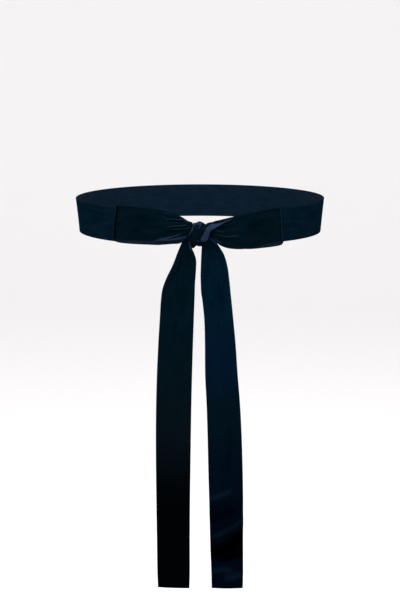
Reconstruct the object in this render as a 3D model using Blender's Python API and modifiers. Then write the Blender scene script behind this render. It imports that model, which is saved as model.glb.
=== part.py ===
"""A velvet sash: one length of ribbon, worn once round a waist and tied in a bow at the back.

The ribbon is 38 mm wide. It goes round an open oval, its two ends cross behind the bow, and each
then makes one loop and one free tail. Every stretch that shows is a wall of its own: a grid that a
function lays out in the ribbon's sizes, with the ribbon's thickness put on by Solidify.

Tables and functions are in millimetres, and the meshes in metres. +Z is up, the bow faces -Y, and
the origin is the middle of the oval, halfway up the band. Most places are given as x, a height, and
how far they stand off the oval that the middle of the band's cloth follows.
"""

import math
from collections import namedtuple

import bmesh
import bpy
from mathutils import Vector

for old in list(bpy.data.objects):
    bpy.data.objects.remove(old, do_unlink=True)
sash = bpy.data.collections.new("velvet sash")
bpy.context.scene.collection.children.link(sash)

MM = 0.001

WALL = 1.5  # the ribbon's thickness

# The waist, a plain oval that is a little wider above than below
WAIST_HALF_WIDTH = 138.5
WAIST_HALF_DEPTH = 102.5
WAIST_LEAN = math.radians(5.0)

# Either end of the band, where it gathers into the first crossing, by its distance from the middle
BandEnd = namedtuple("BandEnd", "distance top bottom pleat")
BAND_END = [
    BandEnd(100.0, 19.0, -19.0, 0.0),
    BandEnd(84.0, 19.0, -19.0, 0.0),
    BandEnd(68.0, 17.8, -19.0, 0.0),
    BandEnd(54.0, 15.6, -18.8, 0.1),
    BandEnd(42.0, 13.0, -18.0, 0.4),
    BandEnd(32.0, 10.4, -17.0, 0.8),
    BandEnd(24.0, 8.0, -16.0, 1.1),
    BandEnd(17.0, 5.6, -15.2, 1.1),
    BandEnd(11.0, 3.2, -14.2, 1.0),
    BandEnd(0.5, 3.0, -14.0, 1.0),
]
BAND_END_SHARE = 0.4  # of the grid's columns, for both ends together

# The bow's knot: its middle, and the half sizes of the middle of its cloth
KNOT_X = 1.0
KNOT_HEIGHT = -1.5
KNOT_HALF_WIDTH = 10.5
KNOT_HALF_HEIGHT = 9.5
KNOT_HALF_DEPTH = 6.9
KNOT_OUT = 13.0
KNOT_MOUTH = 0.95  # the size at its two open ends, as a share of that at its middle
KNOT_FOLD_DEPTH = 0.5

# The first crossing, round the gathered band
HALF_KNOT_X = -0.5
HALF_KNOT_HEIGHT = -6.3
HALF_KNOT_HALF_WIDTH = 9.0
HALF_KNOT_HALF_HEIGHT = 11.7
HALF_KNOT_HALF_DEPTH = 3.75
HALF_KNOT_MOUTH = 0.97
HALF_KNOT_FOLD_DEPTH = 0.15

SQUARENESS = 3.0  # of the two wraps' ovals: 2 is an ellipse
WRAP_FOLDS = 2.5  # half waves from end to end
WRAP_TWIST = 1.0  # how far the folds slant round the wrap, in radians of their wave
LOOP_PLEATS = 3.0  # half waves from edge to edge where a loop gathers
FOLD_SLANT = 1.5  # how much further out than its middle a loop's fold is at its lower edge
TAIL_PLEATS = 2.5
RIPPLE_STARTS = -285.0
RIPPLE_LENGTH = 62.0
RIPPLE_DEPTH = 1.6
RIPPLE_SLOPE = 0.5

# A loop's sections, from the knot along the front layer, round the fold and back along the band.
# reach: from the knot's middle; out: off the waist's oval; middle, height: of the ribbon's section.
Section = namedtuple("Section", "reach out middle height pleat")
LEFT_LOOP = [
    Section(1.5, 14.3, -0.5, 10.5, 0.3),
    Section(6.0, 14.4, -0.2, 9.8, 0.3),
    Section(10.5, 14.6, 0.6, 9.8, 0.3),
    Section(13.0, 14.9, 1.9, 11.4, 0.4),
    Section(16.5, 15.4, 4.2, 15.0, 0.7),
    Section(20.0, 15.6, 5.3, 18.5, 1.1),
    Section(26.0, 15.6, 5.7, 23.0, 1.2),
    Section(32.0, 15.3, 5.7, 27.0, 0.9),
    Section(40.0, 14.8, 5.6, 31.0, 0.5),
    Section(50.0, 13.6, 5.1, 34.0, 0.2),
    Section(60.0, 12.0, 4.8, 35.6, 0.0),
    Section(70.0, 10.0, 4.3, 36.8, 0.0),
    Section(79.0, 8.0, 3.7, 37.6, 0.0),
    Section(86.0, 6.4, 2.9, 38.0, 0.0),
    Section(90.5, 5.1, 2.1, 38.0, 0.0),
    Section(92.3, 3.7, 1.4, 38.0, 0.0),
    Section(91.2, 2.4, 0.6, 38.0, 0.0),
    Section(88.0, 1.9, 0.0, 38.0, 0.0),
    Section(80.0, 1.9, -0.6, 38.0, 0.0),
    Section(68.0, 1.9, -0.6, 38.0, 0.0),
    Section(56.0, 2.1, -0.2, 38.0, 0.0),
    Section(46.0, 2.6, -0.4, 36.8, 0.0),
    Section(38.0, 3.8, -0.5, 34.5, 0.1),
    Section(30.0, 6.4, -0.8, 31.2, 0.3),
    Section(22.0, 8.6, -1.6, 26.8, 0.3),
    Section(16.0, 9.4, -1.2, 19.0, 0.4),
    Section(11.0, 9.8, -1.0, 12.0, 0.4),
    Section(6.0, 9.9, -1.0, 12.0, 0.4),
    Section(1.5, 10.0, -1.0, 12.0, 0.4),
]
RIGHT_LOOP = [
    Section(1.5, 14.3, -1.5, 11.0, 0.4),
    Section(6.0, 14.4, -1.5, 11.5, 0.5),
    Section(10.5, 14.6, -1.4, 12.6, 0.5),
    Section(14.0, 15.2, -1.2, 20.0, 0.8),
    Section(19.0, 15.8, -2.0, 26.5, 0.9),
    Section(26.0, 16.2, -2.8, 31.5, 0.8),
    Section(34.0, 16.0, -2.8, 35.0, 0.5),
    Section(44.0, 15.0, -2.3, 37.5, 0.2),
    Section(54.0, 13.2, -1.3, 38.5, 0.0),
    Section(64.0, 11.0, -0.3, 38.0, 0.0),
    Section(73.0, 9.0, 0.4, 38.0, 0.0),
    Section(81.0, 7.2, 0.9, 38.0, 0.0),
    Section(86.0, 5.9, 1.0, 38.0, 0.0),
    Section(88.6, 4.8, 0.6, 38.0, 0.0),
    Section(89.9, 3.6, -0.4, 38.0, 0.0),
    Section(89.0, 2.4, -1.6, 38.0, 0.0),
    Section(86.0, 1.9, -2.6, 38.0, 0.0),
    Section(78.0, 1.9, -3.0, 38.0, 0.0),
    Section(66.0, 1.9, -2.9, 38.0, 0.0),
    Section(54.0, 2.1, -3.3, 37.4, 0.0),
    Section(45.0, 2.6, -3.8, 35.2, 0.0),
    Section(37.0, 3.8, -4.0, 32.0, 0.1),
    Section(30.0, 6.4, -3.8, 29.2, 0.3),
    Section(22.0, 8.6, -3.0, 25.0, 0.3),
    Section(16.0, 9.4, -1.8, 18.5, 0.4),
    Section(11.0, 9.8, -1.2, 12.0, 0.4),
    Section(6.0, 9.9, -1.0, 12.0, 0.4),
    Section(1.5, 10.0, -1.0, 12.0, 0.4),
]

# A tail's sections, from the knot down. curl: how far the right edge rolls forward. slope: how much
# higher the right edge is than the section's middle.
Hang = namedtuple("Hang", "height left right out pleat curl slope")
LEFT_TAIL = [
    Hang(-10.0, -16.8, -5.8, 4.7, 0.25, 0.0, -2.4),
    Hang(-14.5, -19.0, -6.2, 4.9, 0.4, 0.6, -1.0),
    Hang(-20.0, -21.5, -6.4, 6.0, 0.9, 1.5, 0.0),
    Hang(-26.0, -24.0, -5.8, 7.0, 1.2, 1.8, 0.0),
    Hang(-33.0, -26.6, -4.2, 7.8, 1.3, 1.4, 0.0),
    Hang(-41.6, -30.2, -4.3, 8.0, 1.2, 0.8, 0.0),
    Hang(-50.0, -34.4, -4.8, 8.0, 1.0, 0.4, 0.0),
    Hang(-59.0, -38.2, -5.4, 8.0, 0.7, 0.0, 0.0),
    Hang(-68.0, -40.8, -5.6, 8.0, 0.45, 0.0, 0.0),
    Hang(-80.0, -42.2, -6.0, 8.0, 0.25, 0.0, 0.0),
    Hang(-100.0, -43.5, -6.7, 8.0, 0.1, 0.0, 0.0),
    Hang(-126.0, -45.2, -7.6, 8.0, 0.0, 0.0, 0.0),
    Hang(-160.0, -46.9, -8.6, 8.0, 0.0, 0.0, 0.0),
    Hang(-194.0, -48.0, -9.4, 8.0, 0.0, 0.0, 0.0),
    Hang(-230.0, -48.6, -10.0, 8.0, 0.0, 0.0, 0.0),
    Hang(-270.0, -48.7, -10.6, 8.0, 0.0, 0.0, 0.0),
    Hang(-310.0, -48.5, -11.1, 8.0, 0.0, 0.0, 0.0),
    Hang(-350.0, -48.2, -11.4, 8.0, 0.0, 0.0, 0.0),
    Hang(-387.0, -48.0, -11.4, 8.0, 0.0, 0.0, 0.0),
    Hang(-409.0, -47.4, -11.9, 8.0, 0.0, 0.0, 0.6),
]
RIGHT_TAIL = [
    Hang(-10.4, 2.6, 15.0, 4.8, 0.2, 0.0, 2.0),
    Hang(-15.0, 2.1, 17.6, 5.2, 0.5, 0.4, 0.8),
    Hang(-20.0, 1.9, 21.2, 6.0, 0.9, 1.0, 0.0),
    Hang(-26.0, 1.6, 25.0, 7.0, 1.2, 2.0, 0.0),
    Hang(-33.0, 1.3, 27.6, 7.8, 1.3, 3.0, 0.0),
    Hang(-41.6, 1.0, 29.7, 8.0, 1.2, 4.0, 0.0),
    Hang(-50.0, 0.7, 30.9, 8.0, 1.0, 5.0, 0.0),
    Hang(-59.0, 0.9, 31.9, 8.0, 0.8, 6.0, 0.0),
    Hang(-68.0, 1.3, 32.7, 8.0, 0.6, 6.5, 0.0),
    Hang(-80.0, 2.9, 34.0, 8.0, 0.4, 6.0, 0.0),
    Hang(-100.0, 4.7, 36.0, 8.0, 0.2, 5.0, 0.0),
    Hang(-126.0, 5.3, 38.5, 8.0, 0.0, 3.5, 0.0),
    Hang(-160.0, 5.6, 41.0, 8.0, 0.0, 2.0, 0.0),
    Hang(-194.0, 7.2, 43.8, 8.0, 0.0, 1.0, 0.0),
    Hang(-230.0, 8.3, 45.8, 8.0, 0.0, 0.5, 0.0),
    Hang(-270.0, 9.2, 47.2, 8.0, 0.0, 0.0, 0.0),
    Hang(-310.0, 10.3, 48.0, 8.0, 0.0, 0.0, 0.0),
    Hang(-350.0, 11.3, 48.2, 8.0, 0.0, 0.0, 0.0),
    Hang(-387.0, 12.6, 48.5, 8.0, 0.0, 0.0, 0.0),
    Hang(-409.0, 13.1, 48.2, 8.0, 0.0, 0.0, -0.6),
]

# The crossing fold's two edges, from its tip on the right loop to its end under the knot
Turn = namedtuple("Turn", "upper_x upper_height lower_x lower_height")
CROSSING = [
    Turn(33.0, 13.7, 32.4, 12.6),
    Turn(29.0, 12.9, 27.4, 10.2),
    Turn(24.0, 11.4, 21.5, 7.0),
    Turn(19.0, 9.8, 17.0, 4.0),
    Turn(14.0, 8.6, 13.2, 1.4),
    Turn(9.4, 7.4, 11.0, -0.3),
    Turn(6.2, 5.2, 9.9, -2.2),
    Turn(4.2, 1.8, 9.3, -4.4),
    Turn(2.6, -2.2, 8.8, -6.6),
    Turn(1.0, -6.0, 8.2, -9.0),
    Turn(0.0, -9.4, 7.6, -11.2),
    Turn(-0.4, -11.9, 7.2, -12.5),
    Turn(-0.4, -12.9, 7.0, -13.2),
]
CROSSING_LIFT = WALL / 2.0 + 0.75  # off the cloth below, with room for the curves' flat facets
RIM_SLOPE = 1.0  # how fast the fold comes down off the knot's edge on to the loop
RIM_SOFTNESS = 1.0  # how rounded the fold is where it comes down

# Each stretch's linear red, green and blue: all deep blue-green velvet, but for the ribbon's satin back
Finish = namedtuple("Finish", "colour roughness")
FINISHES = {
    "waistband": Finish((0.0030, 0.0090, 0.0190), 0.85),
    "half_knot": Finish((0.0025, 0.0050, 0.0080), 0.90),
    "loop_left": Finish((0.0020, 0.0060, 0.0090), 0.85),
    "loop_right": Finish((0.0022, 0.0075, 0.0120), 0.85),
    "knot_wrap": Finish((0.0025, 0.0065, 0.0100), 0.85),
    "crossing_fold": Finish((0.0130, 0.0270, 0.0500), 0.45),
    "tail_left": Finish((0.0018, 0.0050, 0.0085), 0.85),
    "tail_right": Finish((0.0020, 0.0080, 0.0170), 0.85),
}


def on_waist(x, height, out):
    """The point this far off the waist's oval, on its outer side at the back."""
    grown = out + height * math.tan(WAIST_LEAN)
    across = x / (WAIST_HALF_WIDTH + grown)
    return Vector((x, -(WAIST_HALF_DEPTH + grown) * math.sqrt(1.0 - across * across), height))


def along_table(rows, place):
    """The row at a place from 0 to 1 along a table, on a smooth curve through its rows."""
    last = len(rows) - 1
    step = min(int(place * last), last - 1)
    share = place * last - step
    near = [rows[min(max(step + offset, 0), last)] for offset in (-1, 0, 1, 2)]
    curve = []
    for a, b, c, d in zip(*near):
        square = 2.0 * a - 5.0 * b + 4.0 * c - d
        cube = 3.0 * b - a - 3.0 * c + d
        curve.append(b + 0.5 * ((c - a) * share + square * share**2 + cube * share**3))
    return type(rows[0])(*curve)


def ease(share):
    """From 0 to 1 with a soft start and end."""
    share = min(max(share, 0.0), 1.0)
    return share * share * (3.0 - 2.0 * share)


def material(name, finish):
    """A plain velvet or satin face."""
    made = bpy.data.materials.new(name)
    made.use_nodes = True
    shader = made.node_tree.nodes["Principled BSDF"]
    shader.inputs["Base Color"].default_value = (*finish.colour, 1.0)
    shader.inputs["Roughness"].default_value = finish.roughness
    shader.inputs["Metallic"].default_value = 0.0
    made.diffuse_color = (*finish.colour, 1.0)
    return made


def cloth(name, surface, steps, is_round=False):
    """One wall of ribbon: surface(along, across), each from 0 to 1, gives the middle of its cloth."""
    grid = bmesh.new()
    bmesh.ops.create_grid(grid, x_segments=steps[0], y_segments=steps[1], size=0.5)
    for point in grid.verts:
        point.co = surface(point.co.x + 0.5, point.co.y + 0.5) * MM
    if is_round:
        bmesh.ops.remove_doubles(grid, verts=grid.verts, dist=0.01 * MM)
    mesh = bpy.data.meshes.new(name)
    grid.to_mesh(mesh)
    grid.free()
    mesh.materials.append(material(name + " cloth", FINISHES[name]))
    mesh.shade_smooth()
    piece = bpy.data.objects.new(name, mesh)
    sash.objects.link(piece)
    thickness = piece.modifiers.new("ribbon thickness", "SOLIDIFY")
    thickness.thickness = WALL * MM
    thickness.offset = 0.0


def band_surface(along, across):
    """Once round the waist, from the right end behind the knot, by the front, to the left one."""
    turn = 2.0 * along - 1.0
    plain_part = 1.0 - BAND_END_SHARE
    if abs(turn) > plain_part:
        row = along_table(BAND_END, (abs(turn) - plain_part) / BAND_END_SHARE)
        angle = math.copysign(math.pi - math.asin(row.distance / WAIST_HALF_WIDTH), turn)
    else:
        row = BAND_END[0]
        angle = (math.pi - math.asin(row.distance / WAIST_HALF_WIDTH)) * turn / plain_part
    height = row.bottom + (row.top - row.bottom) * across
    pleat = row.pleat * math.cos(LOOP_PLEATS * math.pi * (2.0 * across - 1.0))
    out = height * math.tan(WAIST_LEAN) + pleat
    return Vector((
        -(WAIST_HALF_WIDTH + out) * math.sin(angle),
        (WAIST_HALF_DEPTH + out) * math.cos(angle),
        height,
    ))


def loop_surface(rows, direction):
    """A loop that reaches out from the knot to the left (-1) or the right (1)."""

    def surface(along, across):
        row = along_table(rows, along)
        side = 2.0 * across - 1.0
        slant = FOLD_SLANT * side * (row.reach / rows[len(rows) // 2].reach) ** 2
        out = row.out + row.pleat * math.cos(LOOP_PLEATS * math.pi * side)
        height = row.middle + side * row.height / 2.0
        return on_waist(KNOT_X + direction * (row.reach - slant), height, out)

    return surface


def wrap_surface(middle, half_sizes, mouth, fold_depth):
    """A stretch wound once about the x axis: middle is x, height and out, and so are the half sizes."""

    def surface(along, across):
        angle = 2.0 * math.pi * along
        side = 2.0 * across - 1.0
        size = 1.0 - (1.0 - mouth) * side * side
        fold = fold_depth * math.cos(WRAP_FOLDS * math.pi * side + WRAP_TWIST * math.sin(angle))
        up = math.copysign(abs(math.sin(angle)) ** (2.0 / SQUARENESS), math.sin(angle))
        forward = math.copysign(abs(math.cos(angle)) ** (2.0 / SQUARENESS), math.cos(angle))
        return on_waist(
            middle[0] + side * half_sizes[0],
            middle[1] + (half_sizes[1] * size + fold) * up,
            middle[2] + (half_sizes[2] * size + fold) * forward,
        )

    return surface


def tail_surface(rows, ripple_depth):
    """A free end that hangs from under the knot, turned with the waist's oval."""

    def surface(along, across):
        row = along_table(rows, along)
        side = 2.0 * across - 1.0
        x = (row.left + row.right) / 2.0 + side * (row.right - row.left) / 2.0
        rippled = ease((RIPPLE_STARTS - row.height) / RIPPLE_LENGTH)
        phase = 2.0 * math.pi * (row.height - RIPPLE_SLOPE * (x - row.left)) / RIPPLE_LENGTH
        out = row.out + row.pleat * math.cos(TAIL_PLEATS * math.pi * side)
        out += row.curl * max(side, 0.0) ** 2 + ripple_depth * rippled * math.sin(phase)
        point = on_waist(x, 0.0, out)
        point.z = row.height + side * row.slope
        return point

    return surface


def knot_front(x, height):
    """How far out the crossing fold lies over the knot, or over the slope down from the knot's edge."""
    side = min((x - KNOT_X) / KNOT_HALF_WIDTH, 1.0)
    size = 1.0 - (1.0 - KNOT_MOUTH) * side * side
    proud = WALL / 2.0 + KNOT_FOLD_DEPTH + CROSSING_LIFT
    steep = min(abs(height - KNOT_HEIGHT) / (KNOT_HALF_HEIGHT * size + proud), 1.0)
    bulge = (KNOT_HALF_DEPTH * size + proud) * (1.0 - steep**SQUARENESS) ** (1.0 / SQUARENESS)
    past_edge = max(x - KNOT_X - KNOT_HALF_WIDTH, 0.0)
    return KNOT_OUT + bulge - RIM_SLOPE * past_edge


def loop_front(x):
    """How far out the crossing fold lies over the right loop's front layer."""
    front = RIGHT_LOOP[: len(RIGHT_LOOP) // 2]
    reach = x - KNOT_X
    for near, far in zip(front, front[1:]):
        if reach <= far.reach:
            share = (reach - near.reach) / (far.reach - near.reach)
            out = near.out + (far.out - near.out) * share
            pleat = near.pleat + (far.pleat - near.pleat) * share
            return out + pleat + WALL / 2.0 + CROSSING_LIFT
    raise ValueError("the crossing fold reaches past the loop's front layer")


def crossing_surface(along, across):
    """The turned stretch over the right loop's root and the knot, tucked under the knot's lower side."""
    row = along_table(CROSSING, along)
    x = row.upper_x + (row.lower_x - row.upper_x) * across
    height = row.upper_height + (row.lower_height - row.upper_height) * across
    over_knot = knot_front(x, height)
    over_loop = loop_front(x)
    apart = over_knot - over_loop
    both = 0.5 * (over_knot + over_loop + math.sqrt(apart * apart + RIM_SOFTNESS))
    out = over_knot if x < KNOT_X else both
    return on_waist(x, height, out)


cloth("waistband", band_surface, (90, 6))
cloth("loop_left", loop_surface(LEFT_LOOP, -1.0), (42, 14))
cloth("loop_right", loop_surface(RIGHT_LOOP, 1.0), (42, 14))
cloth("tail_left", tail_surface(LEFT_TAIL, 0.0), (30, 9))
cloth("tail_right", tail_surface(RIGHT_TAIL, RIPPLE_DEPTH), (34, 9))
cloth("crossing_fold", crossing_surface, (22, 4))
cloth(
    "knot_wrap",
    wrap_surface(
        (KNOT_X, KNOT_HEIGHT, KNOT_OUT),
        (KNOT_HALF_WIDTH, KNOT_HALF_HEIGHT, KNOT_HALF_DEPTH),
        KNOT_MOUTH,
        KNOT_FOLD_DEPTH,
    ),
    (36, 12),
    is_round=True,
)
cloth(
    "half_knot",
    wrap_surface(
        (HALF_KNOT_X, HALF_KNOT_HEIGHT, 0.0),
        (HALF_KNOT_HALF_WIDTH, HALF_KNOT_HALF_HEIGHT, HALF_KNOT_HALF_DEPTH),
        HALF_KNOT_MOUTH,
        HALF_KNOT_FOLD_DEPTH,
    ),
    (32, 8),
    is_round=True,
)
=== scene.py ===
# %% [markdown]
# # A velvet sash, tied in a bow behind
#
# The real thing is one length of velvet ribbon. It goes once round a waist, its two ends cross, and
# each end makes one loop and one long free tail. Nothing is cut or sewn but the two ends.
#
# The solids of the sash are already there as a fixed frame, one plain wall for each stretch that
# shows. In this lesson each wall is replaced by a finer sheet of the same ribbon, laid out by the
# same few tables, with the folds of the real bow placed on it one by one. Then the sheets get what
# makes velvet look like velvet: a pile that drinks the light and gives it back along its folds.

import math
from collections import namedtuple

import bmesh
import bpy
import numpy as np
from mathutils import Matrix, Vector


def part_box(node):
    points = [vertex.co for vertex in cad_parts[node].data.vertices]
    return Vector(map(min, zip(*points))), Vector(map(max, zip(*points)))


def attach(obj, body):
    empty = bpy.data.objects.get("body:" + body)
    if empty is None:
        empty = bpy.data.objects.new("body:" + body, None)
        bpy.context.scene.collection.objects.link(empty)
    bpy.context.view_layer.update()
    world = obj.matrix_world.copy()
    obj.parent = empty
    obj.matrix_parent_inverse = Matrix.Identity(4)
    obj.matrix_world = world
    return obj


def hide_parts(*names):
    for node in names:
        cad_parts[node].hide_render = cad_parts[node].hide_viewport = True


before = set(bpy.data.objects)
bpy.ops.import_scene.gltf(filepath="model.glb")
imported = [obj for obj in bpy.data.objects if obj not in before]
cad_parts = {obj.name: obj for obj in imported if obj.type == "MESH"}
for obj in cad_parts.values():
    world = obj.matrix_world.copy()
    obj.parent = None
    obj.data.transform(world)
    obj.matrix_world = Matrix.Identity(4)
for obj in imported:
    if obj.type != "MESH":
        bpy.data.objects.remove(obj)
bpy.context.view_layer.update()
print("nodes:", ", ".join(sorted(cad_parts)))

# %% [markdown]
# ## The camera
#
# The sash is seen from behind, a little from above, with the bow in the upper half of the picture
# and the tails' cut ends just above its lower edge. A long lens keeps the band's sides from
# spreading. The camera is placed by the angle it looks from and its distance, as a photographer
# would say it, and then tipped down until the bow sits at its height in the picture.

# %% Camera
MM = 0.001
CAMERA_ELEVATION = math.radians(9.0)
CAMERA_DISTANCE = 1615 * MM
CAMERA_DOWN = math.radians(12.5)
CAMERA_LENS = 85

lens = bpy.data.cameras.new("camera behind the bow")
lens.lens = CAMERA_LENS
camera = bpy.data.objects.new("camera behind the bow", lens)
bpy.context.scene.collection.objects.link(camera)
camera.location = (
    0,
    -CAMERA_DISTANCE * math.cos(CAMERA_ELEVATION),
    CAMERA_DISTANCE * math.sin(CAMERA_ELEVATION),
)
camera.rotation_euler = (math.pi / 2 - CAMERA_DOWN, 0, 0)
bpy.context.scene.camera = camera
print("camera at", [round(v, 3) for v in camera.location])

# %% [markdown]
# ## Colours
#
# A colour is given as a hex value, as in any paint program. Those values are sRGB, which is
# bent to suit screens. Light adds up in linear values, and that is what Blender's sockets take, so
# one function turns one into the other.


# %% Hex to linear
def linear(hex_colour):
    """A hex colour as a socket's linear red, green, blue and alpha, by the sRGB standard's rule."""
    shares = [int(hex_colour[i : i + 2], 16) / 255 for i in (1, 3, 5)]
    lit = [s / 12.92 if s <= 0.04045 else ((s + 0.055) / 1.055) ** 2.4 for s in shares]
    return (*lit, 1.0)


print("mid grey #808080 is", [round(v, 3) for v in linear("#808080")[:3]])

# %% [markdown]
# ## One way to add a node
#
# A material is a small graph of nodes. Added one by one, each needs a line to make it, some to set
# it and some to join it up. This one function does all three: settings are given by their names,
# and an input is given either a plain value or another node's output to join to.


# %% Adding a node
def add(tree, kind, inputs=None, **settings):
    """A new node of this kind, with its settings, and its inputs set or linked."""
    made = tree.nodes.new(kind)
    for name, value in settings.items():
        setattr(made, name, value)
    for name, value in (inputs or {}).items():
        if isinstance(value, bpy.types.NodeSocket):
            tree.links.new(value, made.inputs[name])
        else:
            made.inputs[name].default_value = value
    return made


def new_material(name):
    """An empty material, its node tree and its Principled shader, which is all it starts with."""
    made = bpy.data.materials.new(name)
    made.use_nodes = True
    return made, made.node_tree, made.node_tree.nodes["Principled BSDF"]


kinds = [kind for kind in dir(bpy.types) if kind.startswith("ShaderNode")]
print("kinds of shader node to choose from:", len(kinds))

# %% [markdown]
# ## Floor and light
#
# A dark thing on a pale ground is hard to light: the ground wants little light and the velvet wants
# all it can get. The floor here is matt paper, swept up behind into a wall with no corner, far
# enough below the sash that no shadow of it comes into the picture. A waist is about a metre above
# the floor, so that is where the floor goes.

# %% Paper sweep
FLOOR_HEIGHT = -1.05
SWEEP_SIZE = 14.0
SWEEP_BEND = 3.0
BEND_SEGMENTS = 24
EDGE_MARGIN = 0.01
PAPER_ROUGHNESS = 0.95
PAPER_GLOSS = 0.1

bpy.ops.object.select_all(action="DESELECT")
bpy.ops.mesh.primitive_plane_add(size=SWEEP_SIZE, location=(0, 0, FLOOR_HEIGHT))
sweep = bpy.context.object
sweep.name = "paper_sweep"
bpy.ops.object.transform_apply(location=True)


def select_back_edge():
    """Selects only the edge along the back of the floor."""
    bpy.ops.mesh.select_all(action="DESELECT")
    bpy.ops.mesh.select_mode(type="EDGE")
    cage = bmesh.from_edit_mesh(sweep.data)
    for edge in cage.edges:
        off_back = max(abs(v.co.y - SWEEP_SIZE / 2) for v in edge.verts)
        off_floor = max(abs(v.co.z - FLOOR_HEIGHT) for v in edge.verts)
        edge.select = max(off_back, off_floor) < EDGE_MARGIN
    bmesh.update_edit_mesh(sweep.data)


bpy.ops.object.mode_set(mode="EDIT")
select_back_edge()
bpy.ops.mesh.extrude_region_move(TRANSFORM_OT_translate={"value": (0, 0, SWEEP_SIZE / 2)})
select_back_edge()
bpy.ops.mesh.bevel(offset=SWEEP_BEND, segments=BEND_SEGMENTS, affect="EDGES")
bpy.ops.object.mode_set(mode="OBJECT")
sweep.data.shade_smooth()

paper, _, paper_shader = new_material("matt studio paper")
paper_shader.inputs["Base Color"].default_value = linear("#f7f5f6")
paper_shader.inputs["Roughness"].default_value = PAPER_ROUGHNESS
paper_shader.inputs["Specular IOR Level"].default_value = PAPER_GLOSS
sweep.data.materials.append(paper)
print("sweep faces:", len(sweep.data.polygons))

# %% [markdown]
# Three soft lights do the work. A strong one above and in front gives the folds their upper light,
# a weaker one from the right fills, and one above and behind draws the top edges. The world itself
# is a plain pale grey, which lights the paper evenly.
#
# Black velvet only shows its shape through small differences, so the picture is kept in Blender's
# Standard view: the filmic ones would lift and grey the darks.

# %% Lights
Light = namedtuple("Light", "name place size power")
LIGHTS = [
    Light("soft light above", (-0.7, -1.5, 1.7), 1.1, 46.0),
    Light("fill from the right", (1.6, -1.5, 0.5), 1.0, 14.0),
    Light("light on the top edges", (0.2, 1.5, 1.6), 1.0, 18.0),
]
WORLD_GREY = 0.92
WORLD_STRENGTH = 1.0


def aim(thing, target):
    """Turns a light so that it shines at a place."""
    away = thing.location - target
    thing.rotation_euler = away.to_track_quat("Z", "Y").to_euler()


bow_middle = (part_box("knot_wrap")[0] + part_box("knot_wrap")[1]) / 2
for light in LIGHTS:
    lamp = bpy.data.lights.new(light.name, "AREA")
    lamp.size = light.size
    lamp.energy = light.power
    holder = bpy.data.objects.new(light.name, lamp)
    bpy.context.scene.collection.objects.link(holder)
    holder.location = light.place
    aim(holder, bow_middle)

world = bpy.data.worlds.new("pale studio")
bpy.context.scene.world = world
world.use_nodes = True
background = world.node_tree.nodes["Background"]
background.inputs["Color"].default_value = (WORLD_GREY, WORLD_GREY, WORLD_GREY, 1.0)
background.inputs["Strength"].default_value = WORLD_STRENGTH
bpy.context.scene.view_settings.view_transform = "Standard"
print("lights:", len(LIGHTS))

# %% [markdown]
# ## Places on a waist
#
# A sash has no flat parts: all of it follows the waist. So a place on it is not given as x, y and
# z, but as x, a height, and how far it stands off the oval of the waist. One function bends those
# three round the oval, which leans out a little towards the top, as a waist does.
#
# Every shape below is a table with a row for each section of the ribbon. Between its rows, the
# columns follow a smooth curve that goes through each of them (a Catmull-Rom spline). Each step of
# the curve looks at the rows on either side of it, so one more row is carried on in a straight line
# past each end. The tables are read for all the points of a sheet at once, as numpy arrays, because
# a loop in Python over a hundred thousand points would take far longer than the rest of the lesson.

# %% Waist and tables
WAIST_HALF_WIDTH = 138.5
WAIST_HALF_DEPTH = 102.5
WAIST_LEAN = math.radians(5.0)


def on_waist(x, height, out):
    """Points this far off the waist's oval, on its outer side at the back, in mm."""
    grown = out + height * math.tan(WAIST_LEAN)
    across = x / (WAIST_HALF_WIDTH + grown)
    y = -(WAIST_HALF_DEPTH + grown) * np.sqrt(1.0 - across**2)
    return np.stack([x, y, height], axis=-1)


def table(kind, *rows):
    """Rows of plain numbers as a table that knows its columns by name."""
    return [kind(*row) for row in rows]


def along_table(rows, place):
    """The columns of a table at places from 0 to 1 along it, on a smooth curve through its rows."""
    listed = np.array(rows)
    listed = np.vstack([2.0 * listed[0] - listed[1], listed, 2.0 * listed[-1] - listed[-2]])
    last = len(rows) - 1
    step = np.minimum((place * last).astype(int), last - 1)
    share = (place * last - step)[..., None]
    a, b, c, d = (listed[step + offset] for offset in range(4))
    square = 2.0 * a - 5.0 * b + 4.0 * c - d
    cube = 3.0 * b - a - 3.0 * c + d
    curve = b + 0.5 * ((c - a) * share + square * share**2 + cube * share**3)
    return type(rows[0])(*np.moveaxis(curve, -1, 0))


def ease(share):
    """From 0 to 1 with a soft start and end."""
    share = np.clip(share, 0.0, 1.0)
    return share * share * (3.0 - 2.0 * share)


near_bow = on_waist(np.array([0.0, 90.0]), np.array([0.0, 0.0]), np.array([0.0, 0.0]))
print("the waist at x 0 and x 90:", near_bow.round(1).tolist())

# %% [markdown]
# ## Creases
#
# Where a ribbon is gathered, its folds are what the eye sees first. They could come from a cloth
# simulation, but a simulation makes its own folds, and here the ones to match are known. So each is
# given one by one: a line through a few points on the sheet, with a width, a depth, and soft ends. A
# positive depth is a ridge, and a negative one is a trough.
#
# A crease also has a shade, from -1 for darkest to 1 for lightest, which is kept on each point of
# the sheet and mixed into its colour. It is mostly painted light: painted highlight along ridges
# and fold edges, and painted shade, down to black, in troughs and beside folds. Some of it is the
# velvet's own, whose pile opens over a ridge and closes in a trough. A broad wave of the cloth has a
# depth and no shade, and a patch of lighter or darker pile, partly brushed and partly painted light,
# has a shade and no depth.
#
# Cloth can't fold more sharply than its own thickness allows: the inner side of the bend would pass
# through itself. The ribbon is a millimetre thick, so a narrow crease is also made a shallow one.

# %% Creases
Crease = namedtuple("Crease", "points width depth shade")
WALL = 1.0
SOFT_END = 0.3
SHARPEST_FOLD = 0.6


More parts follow.
